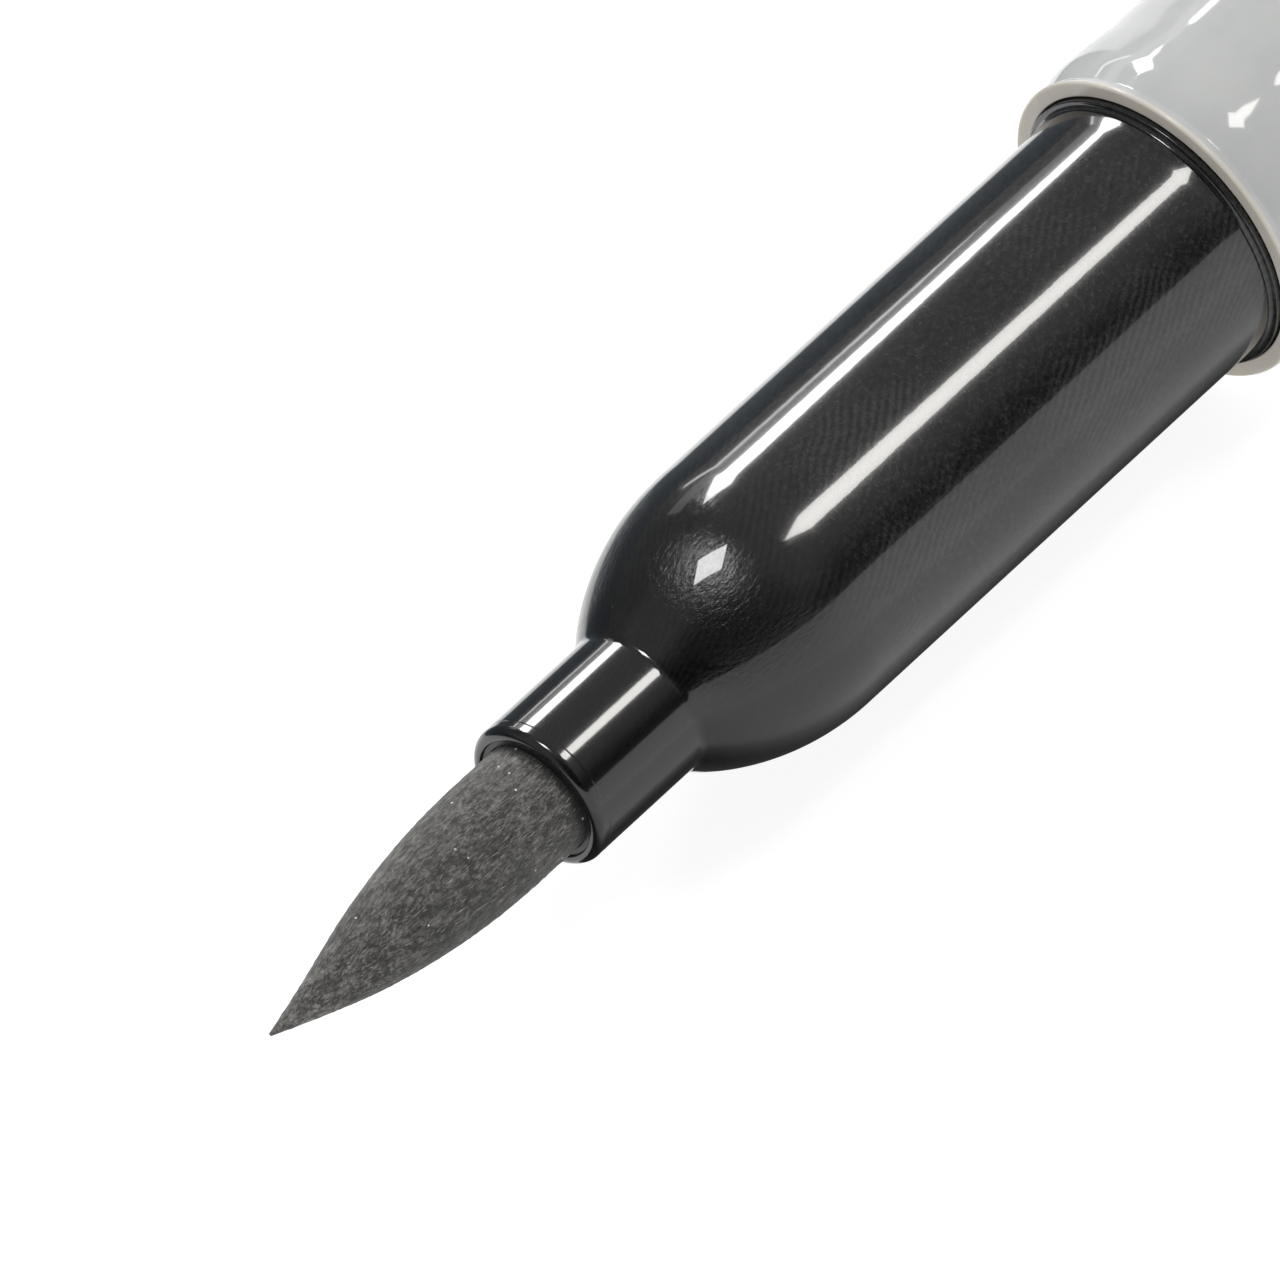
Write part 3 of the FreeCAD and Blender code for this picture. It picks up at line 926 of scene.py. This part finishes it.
def world():
    """Pale studio walls, dimmer in front and in two patches, and bright low down in front."""
    scene_world = bpy.data.worlds.new("studio")
    scene_world.use_nodes = True
    bpy.context.scene.world = scene_world
    tree = scene_world.node_tree
    direction = tree.nodes.new("ShaderNodeTexCoord").outputs["Generated"]
    split = tree.nodes.new("ShaderNodeSeparateXYZ")
    tree.links.new(direction, split.inputs[0])

    def span(value, low, high, to_low, to_high):
        node = tree.nodes.new("ShaderNodeMapRange")
        node.interpolation_type = "SMOOTHSTEP"
        for i, v in enumerate((low, high, to_low, to_high)):
            node.inputs[i + 1].default_value = v
        tree.links.new(value, node.inputs[0])
        return node.outputs[0]

    def combine(operation, a, b):
        node = tree.nodes.new("ShaderNodeMath")
        node.operation = operation
        for i, v in enumerate((a, b)):
            if isinstance(v, (int, float)):
                node.inputs[i].default_value = v
            else:
                tree.links.new(v, node.inputs[i])
        return node.outputs[0]

    def dot(vector):
        node = tree.nodes.new("ShaderNodeVectorMath")
        node.operation = "DOT_PRODUCT"
        node.inputs[1].default_value = vector
        tree.links.new(direction, node.inputs[0])
        return node.outputs["Value"]

    def towards(azimuth, elevation, far, near):
        """Rises from 0 to 1 as the direction comes from far to near, in degrees, of that point."""
        a, e = math.radians(azimuth), math.radians(elevation)
        point = (math.cos(a) * math.cos(e), math.sin(a) * math.cos(e), math.sin(e))
        return span(dot(point), math.cos(math.radians(far)), math.cos(math.radians(near)), 0.0, 1.0)

    front = span(split.outputs["Y"], -0.45, 0.0, 1.0, 0.0)
    below_roof = span(split.outputs["Z"], 0.45, 0.80, 1.0, 0.0)
    dimmed = combine("MULTIPLY", DIM_FRONT, combine("MULTIPLY", front, below_roof))
    room = combine("SUBTRACT", ROOM_LIGHT, dimmed)
    for patch, depth in ((towards(-128, 42, 44, 14), 0.85), (towards(88, 14, 42, 14), 0.5)):
        kept = combine("SUBTRACT", 1.0, combine("MULTIPLY", depth, patch))
        room = combine("MULTIPLY", room, kept)
    low_part = span(dot(LOW_PART), -0.006, 0.006, 0.0, 1.0)
    room = combine("MULTIPLY", room, combine("SUBTRACT", 1.0, low_part))
    strength = combine("ADD", room, combine("MULTIPLY", LOW_PART_LIGHT, low_part))
    tree.links.new(strength, tree.nodes["Background"].inputs["Strength"])
    tree.nodes["Background"].inputs["Color"].default_value = (1.0, 1.0, 1.0, 1.0)


def softbox(name, direction, distance, width, height, radiance, roll=0.0, at=(0, 0, 0)):
    """A box of light, sizes and distance in metres, that faces the point at, given in mm.

    direction is from that point to the box, and roll turns its width away from the marker's axis.
    """
    data = bpy.data.lights.new(name, "AREA")
    data.shape = "RECTANGLE"
    data.size = width
    data.size_y = height
    data.energy = radiance * math.pi * width * height
    obj = bpy.data.objects.new(name, data)
    bpy.context.scene.collection.objects.link(obj)
    z = Vector(direction).normalized()
    obj.location = Vector(at) * MM + z * distance
    x = (Vector((1, 0, 0)) - z * z.x).normalized()
    y = z.cross(x)
    turned = x * math.cos(roll) + y * math.sin(roll)
    obj.rotation_mode = "QUATERNION"
    obj.rotation_quaternion = Matrix((turned, z.cross(turned), z)).transposed().to_quaternion()
    obj.visible_camera = False


def panel(name, corners, light):
    """A flat stage piece, corners in mm, that the camera doesn't see. light(n) sets its glow."""
    bm = bmesh.new()
    bm.faces.new([bm.verts.new(Vector(c) * MM) for c in corners])
    obj = stage_mesh(name, bm)
    obj.visible_camera = False
    n = Nodes(name)
    n.into(
        Base_Color=(0.0, 0.0, 0.0, 1),
        Specular_IOR_Level=0.0,
        Roughness=1.0,
        Emission_Strength=1.0,
    )
    light(n)
    obj.data.materials.append(n.material)
    return obj


def kite(name, centre, along, across, radiance, tint=(1.0, 1.0, 1.0)):
    """A glowing diamond: along and across are its half diagonals, in mm."""

    def light(n):
        n.into(Emission_Color=(*tint, 1.0), Emission_Strength=radiance)

    centre, along, across = Vector(centre), Vector(along), Vector(across)
    corners = (centre + along, centre + across, centre - along, centre - across)
    panel(name, corners, light)


def reflector(name, corners, tint, *stops):
    """A strip that only reflections see. Each stop is (distance from the axis in mm, light)."""
    reach = stops[-1][0]

    def light(n):
        _, y, _ = n.place()
        away = n.math("DIVIDE", n.math("ABSOLUTE", y), reach)
        colours = ((at / reach, tuple(level * c for c in tint)) for at, level in stops)
        n.into(Emission_Color=n.ramp(away, *colours))

    obj = panel(name, corners, light)
    obj.visible_diffuse = False
    obj.visible_shadow = False
    obj.visible_transmission = False


def reflectors():
    """The dark edge of the studio behind the marker, and the shade on the floor in front of it."""
    floor_z = FLOOR_Z / MM
    edge_y = 17.5
    top = floor_z + 10.7
    back = [(-200, edge_y, floor_z), (20, edge_y, floor_z), (20, edge_y, top), (-200, edge_y, top)]
    reflector("dark_strip", back, (0.75, 0.88, 1.0), (0.0, 0.16), (40.0, 0.16))
    z = floor_z + 0.05
    front = [(-60, -40, z), (140, -40, z), (140, -1, z), (-60, -1, z)]
    reflector(
        "shade_strip", front, (1.0, 1.0, 1.0),
        (4.0, 0.05), (5.0, 0.10), (6.3, 0.24), (7.7, 0.62), (9.0, 0.72), (13.0, 0.84),
        (20.0, 0.95), (40.0, 1.12),
    )


def lights():
    """A big box overhead, a window and a slit behind, and the diamonds that gloss mirrors."""
    softbox("box_overhead", (-0.099, 0.267, 0.959), 2.6, 0.62, 0.62, 22.0, math.radians(45))
    softbox("window_back", (0.44, 0.845, 0.30), 2.4, 1.2, 0.36, 1.05)
    softbox(
        "slit_back", (0.42, 0.885, 0.185), 0.2, 0.049, 0.0075, 5.0, math.radians(-34), (0, 4, 3)
    )
    kite(
        "kite_front", (137.6, -54.6, 260.0), (55.4, 10.8, -29.7), (0.0, -30.8, -6.4), 15.5,
        (1.0, 0.985, 0.95),
    )
    kite("kite_back", (122.8, 231.5, 143.6), (50.1, -10.8, -37.9), (0.0, -19.6, 33.7), 17.5)


# Plain display of the colours, so that the pale floor comes out nearly white
bpy.context.scene.view_settings.view_transform = "Standard"
floor()
world()
reflectors()
lights()
